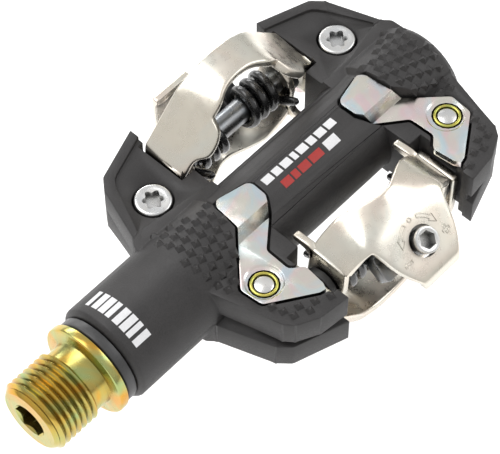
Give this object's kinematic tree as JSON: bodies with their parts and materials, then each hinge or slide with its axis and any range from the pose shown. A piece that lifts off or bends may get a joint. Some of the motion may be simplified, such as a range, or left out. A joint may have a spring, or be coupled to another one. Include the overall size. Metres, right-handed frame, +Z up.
{
  "type": "clipless pedal",
  "caption": "Double-sided clipless bicycle pedal: composite body on a threaded spindle, with a fixed claw, a sprung rear binding and bright contact plates on each side.",
  "frame": {"origin": "on the spindle's axis, at the face of its flange that meets the crank arm", "axes": "+X along the spindle from the crank arm to the pedal body, +Z up out of side A, +Y towards side A's fixed claw, the pedal's front"},
  "size_m": [0.103, 0.0666, 0.0352],
  "materials": {
    "composite": "moulded matt grain, carbon-filled",
    "nickel": "bright, slightly warm",
    "plate": "bright with a faint iridescence",
    "bolt": "bright zinc",
    "chromate": "yellow chromate over steel or titanium, iridescent",
    "clinch": "yellow-green chromate",
    "spring": "black, satin",
    "dark_steel": "dark oxide",
    "bearing_steel": "ground",
    "rubber": "matt",
    "seal_ring": "satin",
    "bush": "matt"
  },
  "bodies": {
    "spindle": {"spindle": "chromate", "bearing_1_inner_ring": "bearing_steel", "bearing_2_inner_ring": "bearing_steel", "spindle_washer": "dark_steel", "spindle_nut": "dark_steel"},
    "pedal_body": {"body": "composite", "cartridge_collar": "seal_ring", "lip_seal": "rubber", "needle_cup": "bearing_steel", "spacer_sleeve": "dark_steel", "bearing_1_outer_ring": "bearing_steel", "bearing_2_outer_ring": "bearing_steel", "contact_plate_a_inboard": "plate", "spring_a_inboard": "spring", "bush_a_inboard": "bush", "body_bolt_a_inboard": "bolt", "clinch_nut_a_inboard": "clinch", "contact_plate_a_outboard": "plate", "spring_a_outboard": "spring", "bush_a_outboard": "bush", "body_bolt_a_outboard": "bolt", "clinch_nut_a_outboard": "clinch", "front_claw_a": "nickel", "binding_axle_a": "dark_steel", "contact_plate_b_inboard": "plate", "spring_b_inboard": "spring", "bush_b_inboard": "bush", "body_bolt_b_inboard": "bolt", "clinch_nut_b_inboard": "clinch", "contact_plate_b_outboard": "plate", "spring_b_outboard": "spring", "bush_b_outboard": "bush", "body_bolt_b_outboard": "bolt", "clinch_nut_b_outboard": "clinch", "front_claw_b": "nickel", "binding_axle_b": "dark_steel"},
    "needle_cage": {"needle_roller_cage": "bearing_steel"},
    "ball_cage_1": {"bearing_1_ball_cage": "bearing_steel"},
    "ball_cage_2": {"bearing_2_ball_cage": "bearing_steel"},
    "binding_a": {"rear_binding_a": "nickel"},
    "tension_screw_a": {"tension_screw_a": "dark_steel"},
    "tension_nut_a": {"tension_nut_a": "dark_steel"},
    "binding_b": {"rear_binding_b": "nickel"},
    "tension_screw_b": {"tension_screw_b": "dark_steel"},
    "tension_nut_b": {"tension_nut_b": "dark_steel"}
  },
  "joints": [
    {"name": "body_spin", "type": "hinge", "parent": "spindle", "child": "pedal_body", "pos_m": [0, 0, 0], "axis": [1, 0, 0], "continuous": true},
    {"name": "needle_cage_spin", "type": "hinge", "parent": "spindle", "child": "needle_cage", "pos_m": [0, 0, 0], "axis": [1, 0, 0], "continuous": true},
    {"name": "ball_cage_1_spin", "type": "hinge", "parent": "spindle", "child": "ball_cage_1", "pos_m": [0, 0, 0], "axis": [1, 0, 0], "continuous": true},
    {"name": "ball_cage_2_spin", "type": "hinge", "parent": "spindle", "child": "ball_cage_2", "pos_m": [0, 0, 0], "axis": [1, 0, 0], "continuous": true},
    {"name": "binding_a_open", "type": "hinge", "parent": "pedal_body", "child": "binding_a", "pos_m": [0.0555, -0.0181, 0], "axis": [1, 0, 0], "range_deg": [0, 22], "stiffness_Nm_per_rad": 0.2, "springref_deg": -5.73, "deforming": ["spring_a_inboard", "spring_a_outboard"]},
    {"name": "tension_screw_a_turn", "type": "hinge", "parent": "binding_a", "child": "tension_screw_a", "pos_m": [0.0555, -0.0283, 0.0079], "axis": [0, 0.5878, -0.809], "range_deg": [0, 720]},
    {"name": "tension_nut_a_slide", "type": "slide", "parent": "binding_a", "child": "tension_nut_a", "axis": [0, -0.5878, 0.809], "range_m": [0, 0.0014], "deforming": ["spring_a_inboard", "spring_a_outboard"]},
    {"name": "binding_b_open", "type": "hinge", "parent": "pedal_body", "child": "binding_b", "pos_m": [0.0555, 0.0181, 0], "axis": [1, 0, 0], "range_deg": [0, 22], "stiffness_Nm_per_rad": 0.2, "springref_deg": -5.73, "deforming": ["spring_b_inboard", "spring_b_outboard"]},
    {"name": "tension_screw_b_turn", "type": "hinge", "parent": "binding_b", "child": "tension_screw_b", "pos_m": [0.0555, 0.0283, -0.0079], "axis": [0, -0.5878, 0.809], "range_deg": [0, 720]},
    {"name": "tension_nut_b_slide", "type": "slide", "parent": "binding_b", "child": "tension_nut_b", "axis": [0, 0.5878, -0.809], "range_m": [0, 0.0014], "deforming": ["spring_b_inboard", "spring_b_outboard"]}
  ],
  "couplings": [
    {"joint": "needle_cage_spin", "follows": "body_spin", "ratio": 0.5778},
    {"joint": "ball_cage_1_spin", "follows": "body_spin", "ratio": 0.641},
    {"joint": "ball_cage_2_spin", "follows": "body_spin", "ratio": 0.641},
    {"joint": "tension_screw_a_turn", "follows": "tension_nut_a_slide", "rad_per_m": 8976},
    {"joint": "tension_screw_b_turn", "follows": "tension_nut_b_slide", "rad_per_m": 8976}
  ]
}
